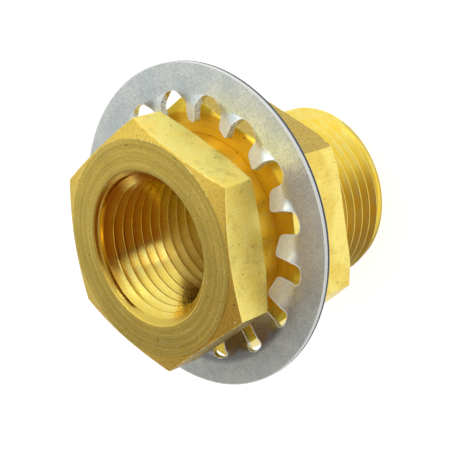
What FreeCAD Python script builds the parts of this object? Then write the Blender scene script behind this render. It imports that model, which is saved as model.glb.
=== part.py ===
import FreeCAD, Part
import math
import os

# A brass tank connector: a hexagon-headed threaded body, a loose tooth lock washer and a lock nut.
# Sizes are in millimetres. The fitting stands on its tail end with its head up,
# its axis is Z, and the origin is the centre of the tail's end face, where its port opens.

# Body, turned from one length of hexagon bar
overall_length = 37.1
head_across_flats = 31.75
head_thickness = 6.6
head_top_corner_drop = 0.91
head_top_chamfer_angle = 18.5
head_back_corner_drop = 0.54
head_back_chamfer_angle = 15.0
shoulder_radius = 14.3
shoulder_length = 4.75
tail_thread_radius = 13.45
tail_lead_in = 0.6

# Water way: a female pipe thread at each end, at its minor radius, and a plain drilling between
port_radius = 9.15
head_port_mouth_radius = 11.18
tail_port_mouth_radius = 9.55
port_depth = 17.5
water_way_radius = 8.9

# Lock nut, screwed up close to the shoulder
nut_across_flats = 34.9
nut_thickness = 10.8
nut_turn_from_head = 1.6
nut_gap_below_shoulder = 0.12
nut_thread_clearance = 0.05
nut_countersink = 0.5
nut_front_corner_drop = 1.2
nut_front_chamfer_angle = 23.0
nut_rear_corner_drop = 0.86
nut_rear_chamfer_angle = 30.0

# Tooth lock washer: a flat ring with inward teeth, each twisted about its own middle line
washer_outer_radius = 23.8
washer_ring_inner_radius = 19.7
washer_thickness = 1.0
tooth_count = 16
tooth_clearance_to_shoulder = 1.1
tooth_root_width = 4.4
tooth_tip_width = 3.0
tooth_root_fillet = 1.3
tooth_tip_corner = 0.6
tooth_twist = 26.0
tooth_neck_length = 1.8
tooth_anchor = 0.6
first_tooth_direction = 15.7

# The washer lies loose on the nut, off centre until its teeth nearly touch the shoulder, not quite level
washer_sideways_rest = 0.95
washer_sideways_direction = -22.0
washer_tilt = 0.5
washer_tilt_direction = -20.0
washer_clearance_to_nut = 0.1

# Heights of the faces that the pieces share
head_underside = overall_length - head_thickness
shoulder_end = head_underside - shoulder_length
nut_top = shoulder_end - nut_gap_below_shoulder
nut_bottom = nut_top - nut_thickness

# Radii that follow from the sizes above
nut_bore_radius = tail_thread_radius + nut_thread_clearance
tooth_tip_radius = shoulder_radius + tooth_clearance_to_shoulder

# Tools are longer than the stock that they cut by this much
overrun = 1.0


def point(x, y, z):
    return FreeCAD.Vector(x, y, z)


def turned(outline):
    """A solid turned about Z from (radius, height) points, closed along the axis."""
    points = [point(radius, 0, height) for radius, height in outline]
    face = Part.Face(Part.makePolygon(points + points[:1]))
    return face.revolve(point(0, 0, 0), point(0, 0, 1), 360)


def corner_radius(across_flats):
    return across_flats / 2 / math.cos(math.radians(30))


def chamfered_hexagon(across_flats, bottom, top, bottom_chamfer, top_chamfer, direction=0.0):
    """A hexagon block whose corners are turned back; a chamfer is its drop at the corners and its angle."""
    corner = corner_radius(across_flats)
    corners = []
    for step in range(6):
        angle = math.radians(direction + 60 * step)
        corners.append(point(corner * math.cos(angle), corner * math.sin(angle), bottom))
    prism = Part.Face(Part.makePolygon(corners + corners[:1])).extrude(point(0, 0, top - bottom))

    outside = corner + overrun
    bottom_slope = math.tan(math.radians(bottom_chamfer[1]))
    top_slope = math.tan(math.radians(top_chamfer[1]))
    envelope = turned([
        (0, bottom),
        (corner - bottom_chamfer[0] / bottom_slope, bottom),
        (outside, bottom + bottom_chamfer[0] + overrun * bottom_slope),
        (outside, top - top_chamfer[0] - overrun * top_slope),
        (corner - top_chamfer[0] / top_slope, top),
        (0, top),
    ])
    return prism.common(envelope)


def through_hole(radius, mouth_radius, bottom, top):
    """A hole with a 45 degree countersink at both ends."""
    countersink = mouth_radius - radius
    return turned([
        (0, bottom - overrun),
        (mouth_radius + overrun, bottom - overrun),
        (radius, bottom + countersink),
        (radius, top - countersink),
        (mouth_radius + overrun, top + overrun),
        (0, top + overrun),
    ])


def coupling_body():
    tail = turned([
        (0, 0),
        (tail_thread_radius - tail_lead_in, 0),
        (tail_thread_radius, tail_lead_in),
        (tail_thread_radius, shoulder_end),
        (shoulder_radius, shoulder_end),
        (shoulder_radius, head_underside + overrun),
        (0, head_underside + overrun),
    ])
    head = chamfered_hexagon(
        head_across_flats, head_underside, overall_length,
        (head_back_corner_drop, head_back_chamfer_angle),
        (head_top_corner_drop, head_top_chamfer_angle))
    head_mouth_depth = head_port_mouth_radius - port_radius
    tail_mouth_depth = tail_port_mouth_radius - port_radius
    water_way = turned([
        (0, -overrun),
        (tail_port_mouth_radius + overrun, -overrun),
        (port_radius, tail_mouth_depth),
        (port_radius, port_depth),
        (water_way_radius, port_depth + port_radius - water_way_radius),
        (water_way_radius, overall_length - port_depth - port_radius + water_way_radius),
        (port_radius, overall_length - port_depth),
        (port_radius, overall_length - head_mouth_depth),
        (head_port_mouth_radius + overrun, overall_length + overrun),
        (0, overall_length + overrun),
    ])
    return tail.fuse(head).cut(water_way).removeSplitter()


def lock_nut():
    block = chamfered_hexagon(
        nut_across_flats, nut_bottom, nut_top,
        (nut_rear_corner_drop, nut_rear_chamfer_angle),
        (nut_front_corner_drop, nut_front_chamfer_angle),
        nut_turn_from_head)
    bore = through_hole(nut_bore_radius, nut_bore_radius + nut_countersink, nut_bottom, nut_top)
    return block.cut(bore)


def tooth_width(radius):
    """The blanked tooth tapers from the ring to its tip."""
    share = (radius - tooth_tip_radius) / (washer_ring_inner_radius - tooth_tip_radius)
    return tooth_tip_width + share * (tooth_root_width - tooth_tip_width)


def tooth_section(radius, width, twist):
    """The tooth's rectangular section across its middle line, which runs along X."""
    angle = math.radians(-twist)
    corners = []
    for side, face in ((-1, -1), (1, -1), (1, 1), (-1, 1)):
        across = side * width / 2
        up = face * washer_thickness / 2
        corners.append(point(
            radius,
            across * math.cos(angle) - up * math.sin(angle),
            across * math.sin(angle) + up * math.cos(angle)))
    return Part.makePolygon(corners + corners[:1])


def twisted_tooth():
    """One tooth, from inside the ring: a filleted root, a twisting neck and a flat, round-cornered tip."""
    ring = washer_ring_inner_radius
    fillet = tooth_root_fillet
    # The fillet's circle touches the tooth's side and, from within, the ring's inner edge
    fillet_offset = tooth_width(ring - fillet) / 2 + fillet
    fillet_centre = math.sqrt((ring - fillet) ** 2 - fillet_offset ** 2)
    root = fillet_centre + fillet
    neck_end = root - tooth_neck_length
    stations = [(ring + tooth_anchor, 2 * fillet_offset, 0.0)]
    for degrees in (0, 30, 60, 90):
        turn = math.radians(degrees)
        radius = fillet_centre + fillet * math.cos(turn)
        stations.append((radius, 2 * (fillet_offset - fillet * math.sin(turn)), None))
    stations.append((neck_end, tooth_width(neck_end), None))
    for degrees in (0, 30, 60, 90):
        turn = math.radians(degrees)
        radius = tooth_tip_radius + tooth_tip_corner * (1 - math.sin(turn))
        cut = tooth_tip_corner * (1 - math.cos(turn))
        stations.append((radius, tooth_width(radius) - 2 * cut, None))

    sections = []
    for radius, width, twist in stations:
        if twist is None:
            share = min(1.0, (root - radius) / tooth_neck_length)
            twist = tooth_twist * (3 - 2 * share) * share * share
        sections.append(tooth_section(radius, width, twist))
    return Part.makeLoft(sections, True, True)


def washer_height():
    """The washer's middle plane, where its lowest tooth edge just clears the nut's face."""
    nut_face_radius = (corner_radius(nut_across_flats)
                       - nut_front_corner_drop / math.tan(math.radians(nut_front_chamfer_angle)))
    twist = math.radians(tooth_twist)
    drops = []
    for number in range(tooth_count):
        direction = first_tooth_direction + 360 * number / tooth_count
        from_rest = math.radians(direction - washer_sideways_direction)
        from_tilt = math.radians(direction - washer_tilt_direction)
        reach = nut_face_radius - washer_sideways_rest * math.cos(from_rest)
        tooth_drop = (tooth_width(reach) / 2 * math.sin(twist)
                      + washer_thickness / 2 * math.cos(twist))
        tilt_drop = reach * math.sin(math.radians(washer_tilt)) * math.cos(from_tilt)
        drops.append(tooth_drop + tilt_drop)
    return nut_top + washer_clearance_to_nut + max(drops)


def tooth_lock_washer():
    ring = turned([
        (washer_ring_inner_radius, -washer_thickness / 2),
        (washer_outer_radius, -washer_thickness / 2),
        (washer_outer_radius, washer_thickness / 2),
        (washer_ring_inner_radius, washer_thickness / 2),
    ])
    teeth = []
    for number in range(tooth_count):
        tooth = twisted_tooth()
        tooth.rotate(point(0, 0, 0), point(0, 0, 1),
                     first_tooth_direction + 360 * number / tooth_count)
        teeth.append(tooth)
    washer = ring.fuse(teeth).removeSplitter()

    tilt = math.radians(washer_tilt_direction)
    washer.rotate(point(0, 0, 0), point(-math.sin(tilt), math.cos(tilt), 0), washer_tilt)
    sideways = math.radians(washer_sideways_direction)
    washer.translate(point(washer_sideways_rest * math.cos(sideways),
                           washer_sideways_rest * math.sin(sideways),
                           washer_height()))
    return washer


pieces = {
    "coupling_body": coupling_body(),
    "lock_nut": lock_nut(),
    "tooth_lock_washer": tooth_lock_washer(),
}

os.makedirs("parts", exist_ok=True)
for name, shape in pieces.items():
    solid = shape.Solids[0]
    solid.exportStep("parts/" + name + ".step")
    print(name, "solids", len(shape.Solids), "valid", shape.isValid(),
          "volume", round(shape.Volume, 1), "faces", len(shape.Faces))
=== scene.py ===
import math

import bmesh
import bpy
import numpy as np
from mathutils import Matrix, Vector


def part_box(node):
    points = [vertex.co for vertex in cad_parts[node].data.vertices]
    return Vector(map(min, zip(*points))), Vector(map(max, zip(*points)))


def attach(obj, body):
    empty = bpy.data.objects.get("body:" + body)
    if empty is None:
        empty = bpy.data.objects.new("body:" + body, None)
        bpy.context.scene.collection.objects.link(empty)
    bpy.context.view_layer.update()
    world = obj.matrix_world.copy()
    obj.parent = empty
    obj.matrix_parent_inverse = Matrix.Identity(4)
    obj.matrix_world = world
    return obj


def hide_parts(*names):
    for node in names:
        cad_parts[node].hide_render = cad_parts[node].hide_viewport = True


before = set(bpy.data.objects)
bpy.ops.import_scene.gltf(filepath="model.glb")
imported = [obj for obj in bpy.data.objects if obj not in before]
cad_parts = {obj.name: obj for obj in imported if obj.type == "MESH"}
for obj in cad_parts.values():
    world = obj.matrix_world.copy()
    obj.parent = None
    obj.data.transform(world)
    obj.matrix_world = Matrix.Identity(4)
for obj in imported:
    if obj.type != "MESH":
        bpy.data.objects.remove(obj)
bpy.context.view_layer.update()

mm = 0.001
turn = 2 * math.pi


def height_of(node, corner):
    """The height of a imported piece's lower (0) or upper (1) end."""
    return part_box(node)[corner].z


# Heights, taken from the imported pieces
tail_end = height_of("coupling_body", 0)
head_face = height_of("coupling_body", 1)
nut_bottom = height_of("lock_nut", 0)
nut_top = height_of("lock_nut", 1)
washer_height = (height_of("tooth_lock_washer", 0) + height_of("tooth_lock_washer", 1)) / 2

# Body: the shoulder all but rests on the nut, and the washer hangs round its lower part
head_across_flats = 31.75 * mm
head_underside = head_face - 6.6 * mm
shoulder_end = nut_top + 0.006 * mm
sheltered_shoulder = 2.2 * mm
head_top_chamfer = (0.91 * mm, math.radians(18.5))
head_back_chamfer = (0.54 * mm, math.radians(15.0))
shoulder_radius = 14.3 * mm
bar_corner_rounding = 0.25 * mm

# Threads: every one has 14 turns to the inch
pitch = 25.4 * mm / 14
tail_crest_radius = 13.45 * mm
tail_root_radius = 12.35 * mm
tail_lead_in = 0.6 * mm
port_crest_radius = 9.15 * mm
port_root_radius = 10.45 * mm
head_port_mouth_radius = 11.18 * mm
tail_port_mouth_radius = 10.8 * mm
head_port_depth = 19.6 * mm
tail_port_depth = 16.4 * mm
port_taper = 1 / 32
water_way_radius = 8.9 * mm

# Sections of the threads: the flat on a crest and in a root, as shares of the pitch
tail_crest_width, tail_root_width = 0.07, 0.15
port_crest_width, port_root_width = 0.07, 0.04
nut_crest_width, nut_root_width = 0.21, 0.165

# Turns by which a thread leads at its low end
tail_thread_start = 0.3
head_port_thread_start = 0.43747
tail_port_thread_start = 0.0

# A thread fades out over this height inside the metal, and hardly at all at an open end
tail_run_out = 1.0 * mm
port_run_out = 0.5 * mm
open_end = 0.01 * mm

# Chamfer radii that leave a thread's end alone, on the outside and on the inside
outside_unchamfered = 1.0
inside_unchamfered = 0.0

# Lock nut
nut_across_flats = 34.9 * mm
nut_turn_from_head = math.radians(1.6)
nut_root_radius = 13.5 * mm
nut_crest_radius = 12.42 * mm
nut_countersink = 0.5 * mm
nut_front_chamfer = (1.2 * mm, math.radians(23.0))
nut_rear_chamfer = (0.86 * mm, math.radians(30.0))

# Lock washer
washer_outer_radius = 23.79 * mm
washer_inner_radius = 19.7 * mm
washer_thickness = 0.82 * mm
tooth_count = 16
tooth_tip_radius = 15.4 * mm
tooth_root_width = 4.4 * mm
tooth_tip_width = 3.0 * mm
tooth_root_fillet = 1.3 * mm
tooth_tip_corner = 0.6 * mm
tooth_twist = math.radians(26.0)
tooth_neck_length = 1.8 * mm
first_tooth_direction = math.radians(15.7)
washer_sideways_rest = 0.95 * mm
washer_sideways_direction = math.radians(-22.0)
washer_tilt = math.radians(0.5)
washer_tilt_direction = math.radians(-20.0)
washer_edge_rounding = 0.18 * mm

# Edges are broken by about this much, and some of them by less
edge_break = 0.12 * mm
head_face_break = 0.06 * mm
water_way_break = 0.05 * mm
shoulder_corner_break = 0.015 * mm

# An end face stops this far from the chamfer that meets it
lip = 0.02 * mm

# Points that lie closer together than this are one point
weld = 0.004 * mm

# Columns of faces round the axis gather at the six corners of a hexagon
column_count = 192
column_gather = 0.9


class Link:
    """A node's output. Expressions on it add Math nodes."""

    def __init__(self, tree, socket):
        self.tree = tree
        self.socket = socket

    def of(self, name):
        """Another output of the same node."""
        return Link(self.tree, self.socket.node.outputs[name])

    def maths(self, operation, *others):
        return self.tree.node("ShaderNodeMath", [self, *others], operation=operation)

    def __add__(self, other):
        return self.maths("ADD", other)

    __radd__ = __add__

    def __sub__(self, other):
        return self.maths("SUBTRACT", other)

    def __rsub__(self, other):
        return self.maths("MULTIPLY_ADD", -1.0, other)

    def __mul__(self, other):
        return self.maths("MULTIPLY", other)

    __rmul__ = __mul__

    def __truediv__(self, other):
        return self.maths("DIVIDE", other)

    def __mod__(self, other):
        return self.maths("FLOORED_MODULO", other)

    def __abs__(self):
        return self.maths("ABSOLUTE")

    def __lt__(self, other):
        return self.maths("LESS_THAN", other)

    def __gt__(self, other):
        return self.maths("GREATER_THAN", other)

    def smaller(self, other):
        return self.maths("MINIMUM", other)

    def larger(self, other):
        return self.maths("MAXIMUM", other)

    def clamped(self):
        return self.smaller(1.0).larger(0.0)

    def rising(self, low, high):
        """0 below low, 1 above high, and a smooth step between."""
        share = ((self - low) / (high - low)).clamped()
        return share * share * (share * -2 + 3)


class Tree:
    """A node tree under construction."""

    def __init__(self, tree):
        self.tree = tree

    def node(self, kind, sockets=(), out=0, **settings):
        """Adds a node: its settings first, then a value or a Link for each of its sockets."""
        made = self.tree.nodes.new(kind)
        for name, value in settings.items():
            setattr(made, name, value)
        pairs = sockets.items() if isinstance(sockets, dict) else enumerate(sockets)
        for key, value in pairs:
            self.join(value, made.inputs[key])
        return Link(self, made.outputs[out]) if len(made.outputs) else made

    def join(self, value, socket):
        if isinstance(value, Link):
            self.tree.links.new(value.socket, socket)
        else:
            socket.default_value = value

    def vector(self, x, y, z):
        return self.node("ShaderNodeCombineXYZ", [x, y, z])

    def mixed(self, factor, first, second):
        """From the first colour to the second."""
        def colour(value):
            return value if isinstance(value, Link) else (*value, 1.0)
        return self.node("ShaderNodeMix", {0: factor, 6: colour(first), 7: colour(second)},
                         out=2, data_type="RGBA")


class FormTree(Tree):
    """A Geometry Nodes tree with named inputs."""

    def __init__(self, name, numbers, objects=()):
        super().__init__(bpy.data.node_groups.new(name, "GeometryNodeTree"))
        face = self.tree.interface
        face.new_socket(name="Form", in_out="OUTPUT", socket_type="NodeSocketGeometry")
        face.new_socket(name="Material", in_out="INPUT", socket_type="NodeSocketMaterial")
        for number in numbers:
            face.new_socket(name=number, in_out="INPUT", socket_type="NodeSocketFloat")
        for thing in objects:
            face.new_socket(name=thing, in_out="INPUT", socket_type="NodeSocketObject")
        self.given = self.tree.nodes.new("NodeGroupInput")

    def __getitem__(self, name):
        return Link(self, self.given.outputs[name])

    def end(self, form):
        """The last nodes: the material, then the output."""
        painted = self.node("GeometryNodeSetMaterial", {
            "Geometry": form, "Material": self["Material"]})
        self.node("NodeGroupOutput", [painted])

    def mesh(self, **values):
        """The tree's result as a plain mesh."""
        holder = linked("form", bpy.data.meshes.new("base"))
        modifier = holder.modifiers.new("form", "NODES")
        modifier.node_group = self.tree
        for item in self.tree.interface.items_tree:
            key = item.name.replace(" ", "_").lower()
            if item.in_out == "INPUT" and key in values:
                modifier[item.identifier] = values[key]
        made = settled(holder)
        bpy.data.objects.remove(holder)
        return made


def linked(name, content):
    """A new object of the scene that holds a mesh, a lamp or a camera."""
    thing = bpy.data.objects.new(name, content)
    bpy.context.scene.collection.objects.link(thing)
    return thing


def settled(piece):
    """The piece's mesh with its modifiers applied."""
    return bpy.data.meshes.new_from_object(
        piece.evaluated_get(bpy.context.evaluated_depsgraph_get()))


def set_wear(mesh, wear_and_highlight):
    """Stores how much each point is rubbed, 0 to 1, for the finishes to read; on the washer the
    same values place a painted highlight.
    """
    worn = mesh.attributes.new("wear_and_highlight", "FLOAT", "POINT")
    worn.data.foreach_set("value", wear_and_highlight)


def thread_form():
    """A tube with a helical thread, open at both ends, whose columns gather at a hexagon's corners.

    The cones are the radii to which 45 degree chamfers cut its two ends. Side is 1 for an outside
    thread and -1 for an inside one."""
    tree = FormTree("helical thread", [
        "Columns", "Gather", "Facing", "Pitch", "Start", "Crest Radius", "Root Radius",
        "Root Taper", "Crest Width", "Root Width", "Low", "High", "Low Cone", "High Cone",
        "Low Run Out", "High Run Out", "Side"])
    rows_in_a_turn = 8
    spare_turns = 3
    widest_crest_break = 0.012
    widest_root_break = 0.04
    low = tree["Low"]
    high = tree["High"]
    side = tree["Side"]
    crest_end = tree["Crest Width"] * 0.5
    root_start = 0.5 - tree["Root Width"] * 0.5
    crest_break = (crest_end * 0.5).smaller(widest_crest_break)
    root_break = (tree["Root Width"] * 0.25).smaller(widest_root_break)

    turns = ((high - low) / tree["Pitch"]).maths("CEIL") + spare_turns
    rows = turns * rows_in_a_turn + 1
    grid = tree.node("GeometryNodeMeshGrid", [1.0, 1.0, tree["Columns"] + 1, rows])
    place = tree.node("ShaderNodeSeparateXYZ", [tree.node("GeometryNodeInputPosition")])
    around = (place.of("X") + 0.5) * turn
    angle = around - tree["Gather"] * (around * 6).maths("SINE") / 6
    row = ((place.of("Y") + 0.5) * (rows - 1)).maths("ROUND")

    # Eight rows to a turn, one on each side of every edge of the thread's section
    step = tree.tree.nodes.new("GeometryNodeIndexSwitch")
    step.data_type = "FLOAT"
    offsets = [
        crest_break - crest_end,
        crest_end - crest_break,
        crest_end + crest_break,
        root_start - root_break,
        root_start + root_break,
        1 - root_start - root_break,
        1 - root_start + root_break,
        1 - crest_end - crest_break,
    ]
    while len(step.index_switch_items) < rows_in_a_turn:
        step.index_switch_items.new()
    tree.join(row % rows_in_a_turn, step.inputs["Index"])
    for number, offset in enumerate(offsets):
        tree.join(offset, step.inputs[str(number)])
    whole = (row / rows_in_a_turn + 0.001).maths("FLOOR")
    turned_so_far = whole - 2 + Link(tree, step.outputs[0]) + angle / turn + tree["Start"]
    # Rows that would lie beyond the tube's ends are laid on them
    z = (low + tree["Pitch"] * turned_so_far).larger(low).smaller(high)

    # The section: 1 on the crest, 0 in the root, straight flanks between
    phase = (z - low) / tree["Pitch"] - angle / turn - tree["Start"]
    from_crest = abs((phase + 0.5).maths("FRACT") - 0.5)
    section = ((root_start - from_crest) / (root_start - crest_end)).clamped()
    low_fade = 1 - (z - low) / tree["Low Run Out"]
    high_fade = 1 - (high - z) / tree["High Run Out"]
    section = section.larger(low_fade.larger(high_fade).clamped())
    root = tree["Root Radius"] + tree["Root Taper"] * (z - low)
    radius = root + (tree["Crest Radius"] - root) * section
    low_cone = tree["Low Cone"] + side * (z - low)
    high_cone = tree["High Cone"] + side * (high - z)
    radius = side * (side * radius).smaller(side * low_cone).smaller(side * high_cone)

    facing = angle + tree["Facing"]
    placed = tree.node("GeometryNodeSetPosition", {
        "Geometry": grid,
        "Position": tree.vector(radius * facing.maths("COSINE"), radius * facing.maths("SINE"), z)})
    tree.end(placed)
    return tree


def tooth_ring_form():
    """One sector of the washer, set round the axis by a rule and joined at the sectors' edges."""
    tree = FormTree("tooth ring", ["Count", "First Direction", "Weld"], ["Sector"])
    shape = tree.node("GeometryNodeObjectInfo", {"Object": tree["Sector"]}, out="Geometry")
    points = tree.node("GeometryNodeMeshLine", {
        "Count": tree["Count"], "Offset": (0.0, 0.0, 0.0)}, mode="OFFSET")
    direction = tree.node("GeometryNodeInputIndex") * turn / tree["Count"] + tree["First Direction"]
    placed = tree.node("GeometryNodeInstanceOnPoints", {
        "Points": points, "Instance": shape, "Rotation": tree.vector(0.0, 0.0, direction)})
    real = tree.node("GeometryNodeRealizeInstances", [placed])
    joined = tree.node("GeometryNodeMergeByDistance", {"Geometry": real, "Distance": tree["Weld"]})
    tree.end(joined)
    return tree


# The columns' angles round the axis, and each one's angle from the nearest corner
around_axis = np.linspace(0, turn, column_count + 1)
column_angles = around_axis - column_gather * np.sin(6 * around_axis) / 6
from_corner = np.abs((column_angles + turn / 12) % (turn / 6) - turn / 12)


def hexagon_radius(across_flats):
    """Each column's radius on a hexagon bar with slightly rounded corners."""
    flat = across_flats / 2 / np.cos(turn / 12 - from_corner)
    centre = (across_flats / 2 - bar_corner_rounding) / math.cos(turn / 12)
    reach = np.maximum(bar_corner_rounding ** 2 - (centre * np.sin(from_corner)) ** 2, 0)
    rounded = centre * np.cos(from_corner) + np.sqrt(reach)
    tangent = math.atan2(bar_corner_rounding * math.sin(turn / 12),
                         centre + bar_corner_rounding * math.cos(turn / 12))
    return np.where(from_corner < tangent, rounded, flat)


def chamfer(across_flats, face, into, drop_and_angle):
    """The two rows of a turned chamfer, on the hexagon's flats and on its end face.

    into is the direction from that face into the metal, 1 up or -1 down."""
    drop, angle = drop_and_angle
    outer = hexagon_radius(across_flats)
    boundary = across_flats / 2 / math.cos(turn / 12) - drop / math.tan(angle)
    fall = np.maximum(outer - boundary, 0) * math.tan(angle)
    inner = np.minimum(boundary, outer - edge_break)
    return (outer, face + into * fall), (inner, face)


class Shell:
    """A closed surface gathered from strips of faces round the axis."""

    def __init__(self, finishes, facing=0.0):
        self.finishes = finishes
        self.facing = facing
        self.places = []
        self.faces = []
        self.paint = []
        self.wear_and_highlight = []

    def add(self, places, faces, paint, wear_and_highlight):
        before = sum(len(part) for part in self.places)
        self.places.append(places)
        self.faces.append(faces + before)
        self.paint.append(paint)
        self.wear_and_highlight.append(wear_and_highlight)

    def tube(self, finish, **sizes):
        """Adds a threaded tube and returns its end rows, lowest first, as radius and height."""
        mesh = helical_thread.mesh(
            material=finish, columns=column_count, gather=column_gather, facing=self.facing,
            pitch=pitch, **sizes)
        places = np.empty(len(mesh.vertices) * 3)
        mesh.vertices.foreach_get("co", places)
        places = places.reshape(-1, 3)
        faces = np.empty(len(mesh.loops), dtype=int)
        mesh.loops.foreach_get("vertex_index", faces)
        faces = faces.reshape(-1, 4)
        slot = self.finishes.index(finish)
        bpy.data.meshes.remove(mesh)
        self.add(places, faces, np.full(len(faces), slot), np.zeros(len(places)))
        grid = places.reshape(column_count + 1, -1, 3)
        ends = grid[:, 0], grid[:, -1]
        return [(np.hypot(end[:, 0], end[:, 1]), end[:, 2]) for end in ends]

    def strip(self, *corners):
        """Adds the surface through corners of (row, finish, edge break).

        A finish is that of the surface between its row and the next. A broken edge becomes three
        worn rows with an unworn one on either side."""
        break_share = 0.22
        fade = 2.2
        shape = np.ones(column_count + 1)
        rows = [np.stack([radius * shape, height * shape]) for (radius, height), _, _ in corners]
        laid = []
        for number, (row, (_, finish, broken)) in enumerate(zip(rows, corners)):
            if not broken:
                laid.append((row, finish, 0.0))
                continue
            back = rows[number - 1] - row
            on = rows[number + 1] - row
            back_length = np.hypot(*back)
            on_length = np.hypot(*on)
            size = np.minimum(broken, break_share * np.minimum(back_length, on_length))
            back = back / back_length * size
            on = on / on_length * size
            before = corners[number - 1][1]
            laid += [
                (row + fade * back, before, 0.0),
                (row + back, before, 1.0),
                (row + (back + on) / 4, finish, 1.0),
                (row + on, finish, 1.0),
                (row + fade * on, finish, 0.0),
            ]
        facing = column_angles + self.facing
        count = column_count + 1
        places = np.concatenate([
            np.stack([row[0] * np.cos(facing), row[0] * np.sin(facing), row[1]], axis=1)
            for row, _, _ in laid])
        wear_and_highlight = np.concatenate([np.full(count, worn) for _, _, worn in laid])
        column = np.arange(column_count)
        faces = []
        paint = []
        for number in range(len(laid) - 1):
            first = number * count + column
            faces.append(np.stack([first, first + 1, first + 1 + count, first + count], axis=1))
            paint.append(np.full(column_count, self.finishes.index(laid[number][1])))
        self.add(places, np.concatenate(faces), np.concatenate(paint), wear_and_highlight)

    def piece(self, name):
        """The finished piece: its strips joined, with all faces outwards."""
        mesh = bpy.data.meshes.new(name)
        mesh.from_pydata(np.concatenate(self.places).tolist(), [],
                         np.concatenate(self.faces).tolist())
        mesh.polygons.foreach_set("material_index", np.concatenate(self.paint))
        for finish in self.finishes:
            mesh.materials.append(finish)
        set_wear(mesh, np.concatenate(self.wear_and_highlight))
        closed = bmesh.new()
        closed.from_mesh(mesh)
        bmesh.ops.remove_doubles(closed, verts=closed.verts, dist=weld)
        bmesh.ops.dissolve_degenerate(closed, edges=closed.edges, dist=weld / 10)
        bmesh.ops.recalc_face_normals(closed, faces=closed.faces)
        closed.to_mesh(mesh)
        closed.free()
        mesh.polygons.foreach_set("use_smooth", [True] * len(mesh.polygons))
        mesh.update()
        return linked(name, mesh)


def washer_sector():
    """One tooth and its share of the ring, as a surface through the middle of the plate.

    The tooth's middle line runs along X."""
    ring = washer_inner_radius
    fillet = tooth_root_fillet
    rim_strip = 0.2 * mm
    tip_wear_and_highlight_reach = 0.25 * mm

    def half_width(radius):
        share = (radius - tooth_tip_radius) / (ring - tooth_tip_radius)
        return (tooth_tip_width + share * (tooth_root_width - tooth_tip_width)) / 2

    # The fillet's circle touches the tooth's side and, from within, the ring's inner edge
    fillet_offset = half_width(ring - fillet) + fillet
    fillet_centre = math.sqrt((ring - fillet) ** 2 - fillet_offset ** 2)
    foot = math.atan2(fillet_offset, fillet_centre)
    root = fillet_centre + fillet

    across = np.array([-1.0, -0.88, -0.68, -0.35, 0.0, 0.35, 0.68, 0.88, 1.0])
    foot_angles = np.arcsin(across * math.sin(foot))
    gap_angles = np.linspace(foot, turn / 2 / tooth_count, 3)[1:]
    angles = np.concatenate([-gap_angles[::-1], foot_angles, gap_angles])
    rows = []
    # Rubbed edges, which the zinc finish also draws as a painted highlight
    wear_and_highlight = []
    inner_rows = np.linspace(washer_outer_radius - rim_strip, ring + rim_strip, 8)
    for radius in (washer_outer_radius, *inner_rows, ring):
        rows.append(np.stack([radius * np.cos(angles), radius * np.sin(angles)], axis=1))
        wear_and_highlight.append(np.full(len(angles), float(radius == washer_outer_radius)))
    wear_and_highlight[-1] = (np.abs(angles) > 0.95 * foot).astype(float)

    stations = []
    bulge = ring - ring * math.cos(foot)
    for share in (0.12, 0.25, 0.4, 0.55, 0.7, 0.85, 1.0):
        angle = share * (turn / 4 + foot) - foot
        stations.append((fillet_centre + fillet * math.cos(angle),
                         fillet_offset - fillet * math.sin(angle), bulge * (1 - share)))
    for radius in np.linspace(fillet_centre, tooth_tip_radius + tooth_tip_corner, 9)[1:-1]:
        stations.append((radius, half_width(radius), 0.0))
    for quarter in (0.0, 0.2, 0.4, 0.6, 0.8, 1.0):
        angle = quarter * turn / 4
        radius = tooth_tip_radius + tooth_tip_corner * (1 - math.sin(angle))
        corner = tooth_tip_corner * (1 - math.cos(angle))
        stations.append((radius, half_width(radius) - corner, 0.0))
    for radius, reach, bulge in stations:
        rows.append(np.stack([radius + bulge * (1 - across ** 2), across * reach], axis=1))
        tip = max(0.0, 1 - (radius - tooth_tip_radius) / tip_wear_and_highlight_reach)
        wear_and_highlight.append(np.where(np.abs(across) > 0.95, 1.0, tip))

    flat = np.concatenate(rows)
    share = np.clip((root - flat[:, 0]) / tooth_neck_length, 0, 1)
    twist = tooth_twist * share * share * (3 - 2 * share)
    places = np.stack([
        flat[:, 0], flat[:, 1] * np.cos(twist), -flat[:, 1] * np.sin(twist)], axis=1)

    wide = len(angles)
    narrow = len(across)
    ring_rows = len(rows) - len(stations)
    faces = []
    for row in range(ring_rows - 1):
        for column in range(wide - 1):
            first = row * wide + column
            faces.append((first, first + wide, first + wide + 1, first + 1))
    near = (ring_rows - 1) * wide + len(gap_angles)
    far = ring_rows * wide
    for row in range(len(stations)):
        for column in range(narrow - 1):
            faces.append((near + column, far + column, far + column + 1, near + column + 1))
        near = far
        far += narrow
    mesh = bpy.data.meshes.new("washer sector")
    mesh.from_pydata(places.tolist(), [], faces)
    set_wear(mesh, np.concatenate(wear_and_highlight))
    return mesh


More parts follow.
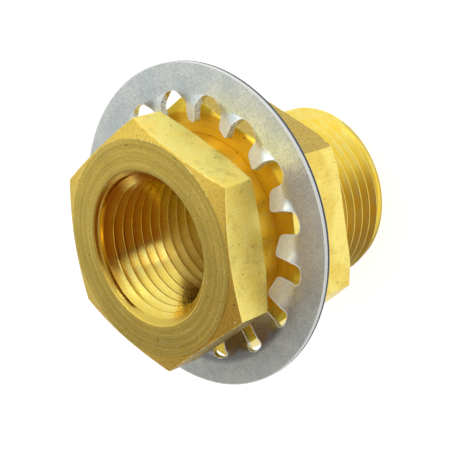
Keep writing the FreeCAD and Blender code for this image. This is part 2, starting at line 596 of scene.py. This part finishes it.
class Finish(Tree):
    """A metal finish whose patterns are measured in millimetres on the piece itself."""

    def __init__(self, name):
        self.material = bpy.data.materials.new(name)
        self.material.use_nodes = True
        super().__init__(self.material.node_tree)
        self.tree.nodes.clear()
        here = self.node("ShaderNodeTexCoord", out="Object")
        self.here = self.node("ShaderNodeVectorMath", {0: here, "Scale": 1 / mm}, operation="SCALE")
        split = self.node("ShaderNodeSeparateXYZ", [self.here])
        self.x, self.y, self.z = split, split.of("Y"), split.of("Z")
        self.radius = (self.x * self.x + self.y * self.y).maths("SQRT")
        self.wear_and_highlight = self.node("ShaderNodeAttribute", out="Fac", attribute_name="wear_and_highlight")

    def noise(self, vector, scale=1.0, detail=3.0):
        return self.node("ShaderNodeTexNoise", {
            "Vector": vector, "Scale": scale, "Detail": detail, "Roughness": 0.55})

    def turned_marks(self, along, fineness, drift):
        """Tool marks that run round the axis and change across it."""
        return self.noise(self.vector(
            along * fineness, self.x / self.radius * drift, self.y / self.radius * drift))

    def drawn_marks(self, fineness):
        """Streaks along the bar."""
        return self.noise(self.vector(self.x * fineness, self.y * fineness, self.z * 0.25))

    def rubbed_edges(self):
        """1 in patches along the worn edges, 0 elsewhere."""
        return self.wear_and_highlight * self.noise(self.here, 1.6).rising(0.5, 0.62)

    def specks(self, size, share):
        """1 in scattered small spots, 0 elsewhere."""
        cells = self.noise(self.here, 1 / size, 2.0)
        return cells.rising(1 - share, 1.06 - share)

    def metal(self, colour, roughness, height, dusty=0.0, metallic=1.0):
        """Ends the finish. height is that of its marks, in millimetres, and dusty the share of its
        surface that carries small spots of dust."""
        if dusty:
            spots = self.specks(0.2, dusty)
            colour = self.mixed(spots, colour, dust)
            metallic = metallic - spots
        bump = self.node("ShaderNodeBump", {"Distance": mm, "Height": height})
        shader = self.node("ShaderNodeBsdfPrincipled", {
            "Base Color": colour, "Metallic": metallic, "Roughness": roughness, "Normal": bump})
        self.node("ShaderNodeOutputMaterial", {"Surface": shader})
        return self.material


# Colours of the metal, from fresh to tarnished brass and from bright zinc to the washer's dark rim.
# Some of them also paint shade, reflected light and highlights.
yellow_brass = (0.92, 0.71, 0.14)
pale_brass = (0.93, 0.79, 0.22)
fresh_brass = (0.95, 0.70, 0.10)
deep_brass = (1.0, 0.70, 0.03)
khaki_brass = (0.82, 0.60, 0.11)
dull_brass = (0.72, 0.54, 0.10)
olive_brass = (0.80, 0.60, 0.10)
amber = (0.70, 0.38, 0.04)
shadow_brass = (0.50, 0.36, 0.07)
dark_brass = (0.24, 0.16, 0.04)
dust = (0.95, 0.90, 0.66)
tarnish_and_painted_shade = (0.16, 0.10, 0.03)
bright_zinc = (0.98, 1.0, 0.97)
warm_zinc = (1.0, 0.95, 0.70)
silver = (0.88, 0.94, 0.90)
dull_silver = (0.74, 0.82, 0.81)
blue_grey = (0.34, 0.39, 0.42)
rim_grey = (0.06, 0.07, 0.10)

# Where finishes change, in millimetres as they measure. Heights:
chamfer_height = head_face / mm - 0.03
port_mouth = (head_face / mm - 1.0, head_face / mm - 0.7)
dull_middle_height = 21.0
dull_middle_fade = (2.0, 6.0)
# Places along X, or along X and Y together, across which painted shade and, on the teeth, a painted
# reflection of the brass fade in:
plus_xy_shade_side = (-1.0, 4.0)
minus_x_shade_side = (-12.0, -1.0)
brass_reflection_tooth_side = (-13.0, -6.0)
shaded_tooth_side = (-15.0, -9.0)
# Radii on the washer:
tooth_root_fade = (18.0, 19.5)
shaded_tooth_fade = (19.0, 20.0)
within_ring_radius = 21.5


def turned_face_brass():
    """Faced across the end of the bar: rings round the axis, bright where an edge is worn."""
    finish = Finish("brass_turned_face")
    rings = finish.turned_marks(finish.radius + finish.z, 2.2, 0.5)
    fine = finish.turned_marks(finish.radius + finish.z, 7.0, 1.5)
    patches = finish.noise(finish.here, 0.25)
    grain = finish.noise(finish.here, 3.5, 4.0)
    rubbed = finish.rubbed_edges()
    cone = finish.z < chamfer_height
    colour = finish.mixed(patches.rising(0.35, 0.65), dull_brass, khaki_brass)
    colour = finish.mixed(fine.rising(0.45, 0.7) * (0.7 - cone * 0.4), colour, pale_brass)
    colour = finish.mixed(rings.rising(0.42, 0.6) * (0.45 - cone * 0.4), colour, shadow_brass)
    colour = finish.mixed(cone * 0.4, colour, yellow_brass)
    colour = finish.mixed(grain.rising(0.42, 0.7) * 0.45, colour, shadow_brass)
    colour = finish.mixed(finish.specks(0.45, 0.3), colour, tarnish_and_painted_shade)
    colour = finish.mixed(rubbed * 0.8, colour, pale_brass)
    roughness = 0.34 + fine * 0.15 - rubbed * 0.1 + cone * 0.2
    return finish.metal(colour, roughness, rings * 0.008 + fine * 0.004 + grain * 0.006, 0.33)


def drawn_flat_brass(name, base, light, streaks, across_flats, rough_and_shaded_side, dull_and_shade_colour):
    """The hexagon bar's own skin: streaks along the bar, small specks and dull patches.

    The pair of flats facing the given side kept the bar's rough skin: on the nut it is also dull
    and dark, on the head its dark colour is painted shade."""
    finish = Finish(name)
    marks = finish.drawn_marks(streaks)
    grain = finish.noise(finish.here, 4.0)
    patches = finish.noise(finish.here, 0.22)
    clouds = finish.noise(finish.here, 0.6, 4.0)
    rubbed = finish.rubbed_edges()
    colour = finish.mixed(patches.rising(0.35, 0.65), base, light)
    colour = finish.mixed(marks.rising(0.35, 0.75) * 0.35, colour, pale_brass)
    colour = finish.mixed(grain.rising(0.45, 0.75) * 0.3, colour, shadow_brass)
    colour = finish.mixed(clouds.rising(0.5, 0.8) * 0.5, colour, shadow_brass)
    colour = finish.mixed(finish.specks(0.5, 0.3), colour, tarnish_and_painted_shade)
    out = finish.x * math.cos(rough_and_shaded_side) + finish.y * math.sin(rough_and_shaded_side)
    rough = abs(out) > 0.499 * across_flats / mm
    chatter = finish.noise(finish.vector(
        finish.x * 2.2 + finish.z * 0.8, finish.y * 2.2, finish.z * 1.6 - finish.x), 1.0, 4.0)
    dents = chatter.rising(0.4, 0.6)
    # On the head this darker pair is painted shade; on the nut it is the rough skin's own dull
    # colour
    colour = finish.mixed(rough * (0.75 + dents * 0.25), colour, dull_and_shade_colour)
    colour = finish.mixed(rubbed * 0.8, colour, pale_brass)
    roughness = 0.34 + grain * 0.16 + rough * 0.1 - rubbed * 0.1
    height = marks * 0.003 + grain * 0.005 + rough * dents * 0.03
    return finish.metal(colour, roughness, height, 0.33)


def sheltered_brass():
    """Satin, in a deep yellow that paints the warm light reflected between the brass parts: the
    nut's front face and the shoulder, where the washer hangs.
    """
    finish = Finish("brass_sheltered")
    lines = finish.drawn_marks(5.0)
    rings = finish.turned_marks(finish.radius, 4.0, 0.4)
    # Painted reflected light: a deeper yellow than the open brass
    colour = finish.mixed(lines.rising(0.35, 0.65), deep_brass, fresh_brass)
    colour = finish.mixed(rings.rising(0.45, 0.7) * 0.3, colour, amber)
    colour = finish.mixed(finish.specks(0.5, 0.3), colour, tarnish_and_painted_shade)
    roughness = 0.42 + lines * 0.1
    return finish.metal(colour, roughness, rings * 0.008 + lines * 0.006, 0.3, 0.85)


def turned_side_brass():
    """Turned along the bar: faint ridges round the shoulder and the backs of the hexagons."""
    finish = Finish("brass_turned_side")
    ridges = finish.turned_marks(finish.radius + finish.z, 3.0, 0.4)
    fine = finish.turned_marks(finish.radius + finish.z, 8.0, 1.5)
    colour = finish.mixed(ridges.rising(0.35, 0.65), fresh_brass, yellow_brass)
    colour = finish.mixed(finish.specks(0.6, 0.3), colour, amber)
    roughness = 0.24 + fine * 0.14
    return finish.metal(colour, roughness, ridges * 0.02 + fine * 0.004)


def thread_brass(name, base, light, crest_radius, roughness, root, plus_xy_root_shade, metallic, minus_x_shade):
    """A cut thread: marks that follow it, crests rubbed bright, a rougher chamfered mouth, and
    painted shade.

    The roots and the mouth are darkened with painted shade: the roots in their given colour and,
    towards +X and +Y, in the colour given after it. The last number is how much painted shade
    darkens the thread towards -X."""
    finish = Finish(name)
    fine = finish.turned_marks(finish.radius * 2 + finish.z, 7.0, 1.0)
    patches = finish.noise(finish.here, 0.5)
    depth = abs(finish.radius - crest_radius / mm)
    crest = 1 - depth.rising(0.03, 0.16)
    mouth = finish.z.rising(*port_mouth)
    middle = 1 - abs(finish.z - dull_middle_height).rising(*dull_middle_fade)
    minus_x_shade_mask = 1 - finish.x.rising(*minus_x_shade_side)
    chatter = finish.noise(finish.vector(finish.x * 2.0, finish.y * 2.0, finish.z * 0.3))
    # Painted shade for the roots, in a second colour where X plus Y is large
    painted_root_shade = finish.mixed((finish.x + finish.y).rising(*plus_xy_shade_side), root, plus_xy_root_shade)
    colour = finish.mixed(patches.rising(0.35, 0.65), base, light)
    # Painted shade: darker from the crests down into the roots
    colour = finish.mixed(depth.rising(0.15, 1.1) * 0.85, colour, painted_root_shade)
    # Chatter marks, drawn in the roots' painted shade colour
    colour = finish.mixed(chatter.rising(0.45, 0.65) * 0.25, colour, painted_root_shade)
    colour = finish.mixed(crest * 0.5, colour, pale_brass)
    # Painted shade at the chamfered mouth, which is also rougher
    colour = finish.mixed(mouth * 0.5, colour, shadow_brass)
    # Painted shade: darker towards -X, away from the light
    colour = finish.mixed(minus_x_shade_mask * minus_x_shade, colour, tarnish_and_painted_shade)
    roughness = roughness + fine * 0.10 + mouth * 0.1 + middle * 0.25
    return finish.metal(colour, roughness, fine * 0.003 + chatter * 0.006, metallic=metallic)


def zinc_plate():
    """Mottled zinc with edges drawn bright as a painted highlight. The teeth carry a painted
    reflection of the brass's warm colour, and painted shade at -X.
    """
    finish = Finish("zinc_plate")
    clouds = finish.noise(finish.here, 0.25, 2.0)
    mottle = finish.noise(finish.here, 1.1, 4.0)
    spangle = finish.noise(finish.here, 5.0)
    scratches = finish.noise(finish.vector(
        finish.x * 0.6 + finish.y * 4.0, finish.y * 0.6 - finish.x * 4.0, finish.z))
    colour = finish.mixed(clouds.rising(0.3, 0.7), dull_silver, silver)
    colour = finish.mixed(mottle.rising(0.45, 0.75) * 0.25, colour, blue_grey)
    colour = finish.mixed(spangle.rising(0.35, 0.65) * 0.45, colour, blue_grey)
    colour = finish.mixed(finish.specks(0.22, 0.36) * 0.8, colour, bright_zinc)
    # Painted reflection: the teeth take the brass's warm colour, except towards -X
    warm = finish.x.rising(*brass_reflection_tooth_side)
    warm = warm * (1 - finish.radius.rising(*tooth_root_fade))
    # Painted shade: the teeth darker towards -X
    shaded = 1 - finish.x.rising(*shaded_tooth_side)
    shaded = shaded * (1 - finish.radius.rising(*shaded_tooth_fade))
    colour = finish.mixed(shaded * 0.5, colour, rim_grey)
    colour = finish.mixed(warm * (0.5 + finish.specks(0.3, 0.5) * 0.5), colour, warm_zinc)
    # Painted highlight along the rubbed edges: near-white and less metallic
    edge = finish.wear_and_highlight.rising(0.05, 0.5)
    colour = finish.mixed(edge, colour, bright_zinc)
    metallic = (0.75 + shaded * 0.25 - warm * 0.65) * (1 - edge * 0.8)
    roughness = 0.33 + spangle * 0.2
    return finish.metal(
        colour, roughness, spangle * 0.012 + scratches * 0.003, metallic=metallic)


def sheared_zinc():
    """The plate's sheared sides; the outer rim is dark below, with a painted highlight near its
    top.
    """
    finish = Finish("zinc_sheared_edge")
    torn = finish.noise(finish.vector(finish.x * 5.0, finish.y * 5.0, finish.z * 0.8))
    grain = finish.noise(finish.here, 5.0)
    colour = finish.mixed(torn.rising(0.35, 0.6), dull_silver, silver)
    colour = finish.mixed(finish.specks(0.3, 0.45) * 0.7, colour, blue_grey)
    along_tilt = (finish.x * math.cos(washer_tilt_direction)
                  + finish.y * math.sin(washer_tilt_direction))
    height = finish.z - washer_height / mm + along_tilt * math.tan(washer_tilt)
    # Painted highlight: a near-white, less metallic band along the top of the outer rim
    upper = (height + torn * 0.1).rising(0.0, 0.12)
    outer = finish.radius > within_ring_radius
    colour = finish.mixed(outer * (1 - upper), colour, rim_grey)
    colour = finish.mixed(outer * upper, colour, bright_zinc)
    roughness = 0.34 + grain * 0.2
    return finish.metal(
        colour, roughness, torn * 0.02 + grain * 0.008, metallic=1 - outer * upper * 0.9)


def worn_zinc():
    """The washer's rounded edges: rubbed, and drawn near-white and not metallic as a painted
    highlight.
    """
    finish = Finish("zinc_worn_edge")
    rubbed = finish.noise(finish.here, 1.5)
    colour = finish.mixed(rubbed.rising(0.3, 0.6), dull_silver, bright_zinc)
    return finish.metal(colour, 0.35 + rubbed * 0.2, rubbed * 0.004, metallic=0.0)


helical_thread = thread_form()
tooth_ring = tooth_ring_form()

face_brass = turned_face_brass()
side_brass = turned_side_brass()
painted_light_brass = sheltered_brass()
# The head's pair of flats towards 30 and 210 degrees is darkened with painted shade
flat_brass = drawn_flat_brass(
    "brass_head_flat", yellow_brass, pale_brass, streaks=5.0,
    across_flats=head_across_flats, rough_and_shaded_side=turn / 12, dull_and_shade_colour=dark_brass)
nut_flat_brass = drawn_flat_brass(
    "brass_nut_flat", khaki_brass, pale_brass, streaks=3.0,
    across_flats=nut_across_flats, rough_and_shaded_side=nut_turn_from_head - turn / 12,
    dull_and_shade_colour=shadow_brass)
# Both threads have painted shade in their roots; the outside one is also darkened with painted
# shade towards -X
tail_thread_brass = thread_brass(
    "brass_outside_thread", fresh_brass, pale_brass, tail_crest_radius,
    roughness=0.34, root=deep_brass, plus_xy_root_shade=deep_brass, metallic=0.9, minus_x_shade=0.6)
port_thread_brass = thread_brass(
    "brass_inside_thread", yellow_brass, pale_brass, port_crest_radius,
    roughness=0.12, root=olive_brass, plus_xy_root_shade=amber, metallic=1.0, minus_x_shade=0.0)


def hexagon_headed_body():
    """The coupling's body: head, shoulder, threaded tail and the water way through them."""
    shell = Shell([
        face_brass, side_brass, painted_light_brass, flat_brass, tail_thread_brass, port_thread_brass])
    tail_low, tail_high = shell.tube(
        tail_thread_brass, start=tail_thread_start,
        crest_radius=tail_crest_radius, root_radius=tail_root_radius, root_taper=0.0,
        crest_width=tail_crest_width, root_width=tail_root_width,
        low=tail_end + edge_break, high=shoulder_end,
        low_cone=tail_crest_radius - tail_lead_in + edge_break, high_cone=outside_unchamfered,
        low_run_out=open_end, high_run_out=tail_run_out, side=1.0)
    port_low = head_face - head_port_depth
    port_high = head_face - edge_break
    head_low, head_high = shell.tube(
        port_thread_brass, start=head_port_thread_start, crest_radius=port_crest_radius,
        root_radius=port_root_radius - (port_high - port_low) * port_taper, root_taper=port_taper,
        crest_width=port_crest_width, root_width=port_root_width,
        low=port_low, high=port_high,
        low_cone=inside_unchamfered, high_cone=head_port_mouth_radius - edge_break,
        low_run_out=port_run_out, high_run_out=open_end, side=-1.0)
    foot_low, foot_high = shell.tube(
        port_thread_brass, start=tail_port_thread_start, crest_radius=port_crest_radius,
        root_radius=port_root_radius, root_taper=-port_taper,
        crest_width=port_crest_width, root_width=port_root_width,
        low=tail_end + edge_break, high=tail_end + tail_port_depth,
        low_cone=tail_port_mouth_radius - edge_break, high_cone=inside_unchamfered,
        low_run_out=open_end, high_run_out=port_run_out, side=-1.0)

    back_edge, back_face = chamfer(head_across_flats, head_underside, 1, head_back_chamfer)
    top_edge, top_face = chamfer(head_across_flats, head_face, -1, head_top_chamfer)
    # Extra rows beside the thread's end and the mouth keep the flat faces' shading clean
    shell.strip(
        (tail_high, side_brass, 0),
        ((tail_crest_radius + 0.1 * mm, shoulder_end), side_brass, 0),
        ((shoulder_radius, shoulder_end), painted_light_brass, shoulder_corner_break),
        ((shoulder_radius, shoulder_end + sheltered_shoulder), painted_light_brass, 0),
        ((shoulder_radius, head_underside), side_brass, edge_break),
        (back_face, side_brass, edge_break),
        (back_edge, flat_brass, edge_break),
        (top_edge, face_brass, edge_break),
        (top_face, face_brass, head_face_break),
        ((head_port_mouth_radius + 1.2 * mm, head_face), face_brass, 0),
        ((head_port_mouth_radius + 0.15 * mm, head_face), face_brass, 0),
        ((head_port_mouth_radius + lip, head_face), face_brass, 0),
        (head_high, port_thread_brass, 0))
    step = port_crest_radius - water_way_radius
    shell.strip(
        (head_low, side_brass, 0),
        ((water_way_radius, port_low - step), side_brass, water_way_break),
        ((water_way_radius, tail_end + tail_port_depth + step), side_brass, water_way_break),
        (foot_high, side_brass, 0))
    shell.strip(
        (foot_low, side_brass, 0),
        ((tail_port_mouth_radius + lip, tail_end), side_brass, 0),
        ((tail_crest_radius - tail_lead_in - lip, tail_end), side_brass, 0),
        (tail_low, side_brass, 0))
    return shell.piece("hexagon_headed_body")


def hexagon_lock_nut():
    """The lock nut, its thread meshed with the tail's."""
    shell = Shell(
        [face_brass, side_brass, painted_light_brass, nut_flat_brass, tail_thread_brass],
        nut_turn_from_head)
    low = nut_bottom + edge_break
    # Half a turn from the tail's thread, so that its crests lie in the tail's roots
    start = ((tail_end + edge_break - low) / pitch
             + nut_turn_from_head / turn + tail_thread_start - 0.5) % 1
    bore_mouth = nut_root_radius + nut_countersink
    bore_low, bore_high = shell.tube(
        tail_thread_brass, start=start,
        crest_radius=nut_crest_radius, root_radius=nut_root_radius, root_taper=0.0,
        crest_width=nut_crest_width, root_width=nut_root_width,
        low=low, high=nut_top - edge_break,
        low_cone=bore_mouth - edge_break, high_cone=bore_mouth - edge_break,
        low_run_out=open_end, high_run_out=open_end, side=-1.0)
    rear_edge, rear_face = chamfer(nut_across_flats, nut_bottom, 1, nut_rear_chamfer)
    front_edge, front_face = chamfer(nut_across_flats, nut_top, -1, nut_front_chamfer)
    face_start = bore_mouth + lip
    bore_border = face_start + 1.0 * mm
    shell.strip(
        (bore_low, face_brass, 0),
        ((face_start, nut_bottom), face_brass, 0),
        ((bore_border, nut_bottom), side_brass, 0),
        (rear_face, side_brass, edge_break),
        (rear_edge, nut_flat_brass, edge_break),
        (front_edge, painted_light_brass, edge_break),
        (front_face, painted_light_brass, edge_break),
        ((bore_border, nut_top), painted_light_brass, 0),
        ((face_start, nut_top), face_brass, 0),
        (bore_high, face_brass, 0))
    return shell.piece("hexagon_lock_nut")


def twisted_tooth_washer():
    """The lock washer: its middle surface from the rule, then its thickness and rounded edges."""
    sector = linked("washer sector", washer_sector())
    plate = zinc_plate()
    flat = linked("washer", tooth_ring.mesh(
        material=plate, count=tooth_count, first_direction=first_tooth_direction,
        weld=weld, sector=sector))
    finishes = {"plate": plate, "sides": sheared_zinc(), "edges": worn_zinc()}
    slots = list(finishes)
    flat.data.materials.clear()
    for finish in finishes.values():
        flat.data.materials.append(finish)
    flat.data.polygons.foreach_set("use_smooth", [True] * len(flat.data.polygons))
    thick = flat.modifiers.new("thickness", "SOLIDIFY")
    thick.thickness = washer_thickness
    thick.offset = 0.0
    thick.use_even_offset = True
    thick.material_offset_rim = slots.index("sides")
    eased = flat.modifiers.new("edges", "BEVEL")
    eased.width = washer_edge_rounding
    eased.segments = 2
    eased.material = slots.index("edges")
    eased.limit_method = "ANGLE"
    eased.angle_limit = math.radians(50)
    mesh = settled(flat)
    for spare in (flat, sector):
        bpy.data.objects.remove(spare)
    tilt_axis = Vector((-math.sin(washer_tilt_direction), math.cos(washer_tilt_direction), 0))
    rest = Matrix.Translation((
        washer_sideways_rest * math.cos(washer_sideways_direction),
        washer_sideways_rest * math.sin(washer_sideways_direction),
        washer_height))
    mesh.transform(rest @ Matrix.Rotation(washer_tilt, 4, tilt_axis))
    return linked("twisted_tooth_washer", mesh)


for piece, node, slot in (
        (hexagon_headed_body(), "coupling_body", "body_brass"),
        (hexagon_lock_nut(), "lock_nut", "nut_brass"),
        (twisted_tooth_washer(), "tooth_lock_washer", "zinc_plated_steel")):
    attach(piece, node)
    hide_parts(node)


# The room, whose light comes mostly from one side
middle = Vector((0, 0, 20 * mm))
light_azimuth = math.radians(29)
world_light = 0.6
dim_side = (0.06, 0.06, 0.06)
warm_side = (0.24, 0.10, 0.012)
floor_grey = (0.5, 0.5, 0.5, 1.0)
floor_glow = 0.78
floor_reach = 4.0
floor_clearance = 0.02 * mm


def floor():
    """A white floor that keeps the object's shadow, just clear of the tail's end face."""
    mesh = bpy.data.meshes.new("floor")
    far, low = floor_reach, tail_end - floor_clearance
    mesh.from_pydata(
        [(-far, -far, low), (far, -far, low), (far, far, low), (-far, far, low)],
        [], [(0, 1, 2, 3)])
    surface = bpy.data.materials.new("white_floor")
    surface.use_nodes = True
    surface.node_tree.nodes.clear()
    tree = Tree(surface.node_tree)
    seen = seen_as_background(tree)
    diffuse = tree.node("ShaderNodeBsdfDiffuse", {"Color": floor_grey})
    glow = tree.node("ShaderNodeEmission", {"Strength": seen * floor_glow})
    both = tree.node("ShaderNodeAddShader", [diffuse, glow])
    tree.node("ShaderNodeOutputMaterial", {"Surface": both})
    mesh.materials.append(surface)
    linked("floor", mesh)


def seen_as_background(tree):
    """1 for what the camera sees directly or mirrored in metal, 0 for the light it gives."""
    path = tree.node("ShaderNodeLightPath")
    return path.larger(path.of("Is Glossy Ray")).larger(path.of("Is Transmission Ray"))


def surroundings():
    """A white room. What the metal mirrors of it is dim away from the light, and warm overhead
    and on the far side, but white all round near the floor."""
    world = bpy.data.worlds.new("white room")
    bpy.context.scene.world = world
    world.use_nodes = True
    world.node_tree.nodes.clear()
    tree = Tree(world.node_tree)
    way = tree.node("ShaderNodeSeparateXYZ", [tree.node("ShaderNodeTexCoord", out="Generated")])
    towards_light = way * math.cos(light_azimuth) + way.of("Y") * math.sin(light_azimuth)
    overhead = way.of("Z").rising(0.72, 0.9)
    lit = towards_light.rising(overhead * 0.3 - 0.2, 0.55 - overhead * 0.35)
    lit = lit.larger(1 - way.of("Z").rising(0.1, 0.4))
    seen = seen_as_background(tree)
    far_side = 1 - towards_light.rising(-0.3, -0.05)
    dim = tree.mixed(overhead.larger(far_side), dim_side, warm_side)
    colour = tree.mixed(seen * (1 - lit), (1.0, 1.0, 1.0), dim)
    strength = world_light + seen * (1 - world_light)
    back = tree.node("ShaderNodeBackground", {"Color": colour, "Strength": strength})
    tree.node("ShaderNodeOutputWorld", {"Surface": back})


def soft_lamp(name, azimuth, elevation, distance, size, power):
    """A round lamp that faces the object's middle from a direction in degrees."""
    light = bpy.data.lights.new(name, "AREA")
    light.shape = "DISK"
    light.size = size
    light.energy = power
    lamp = linked(name, light)
    azimuth, elevation = math.radians(azimuth), math.radians(elevation)
    away = Vector((math.cos(azimuth) * math.cos(elevation),
                   math.sin(azimuth) * math.cos(elevation), math.sin(elevation)))
    lamp.location = middle + away * distance
    lamp.rotation_euler = away.to_track_quat("Z", "Y").to_euler()


floor()
surroundings()
soft_lamp("key lamp", azimuth=14, elevation=57, distance=0.6, size=0.22, power=0.6)
soft_lamp("front lamp", azimuth=-58, elevation=42, distance=0.7, size=0.3, power=0.2)
soft_lamp("low lamp", azimuth=-25, elevation=8, distance=0.6, size=0.08, power=0.12)

# The photo's camera, solved from the hexagons' corners and the thread
lens = bpy.data.cameras.new("camera")
lens.sensor_width = 36.0
lens.lens = 96.107
lens.clip_start = 0.01
camera = linked("camera", lens)
station = Vector((37.79067, -126.00072, 145.79059)) * mm
right = Vector((-0.12616529, -0.71913486, -0.68332084))
up = Vector((0.9683503, 0.06026105, -0.24221128))
forward = Vector((-0.2153602, 0.69225259, -0.68877161))
turned_to_view = Matrix((right, up, -forward)).transposed().to_4x4()
camera.matrix_world = Matrix.Translation(station) @ turned_to_view
bpy.context.scene.camera = camera
bpy.context.scene.view_settings.view_transform = "Standard"
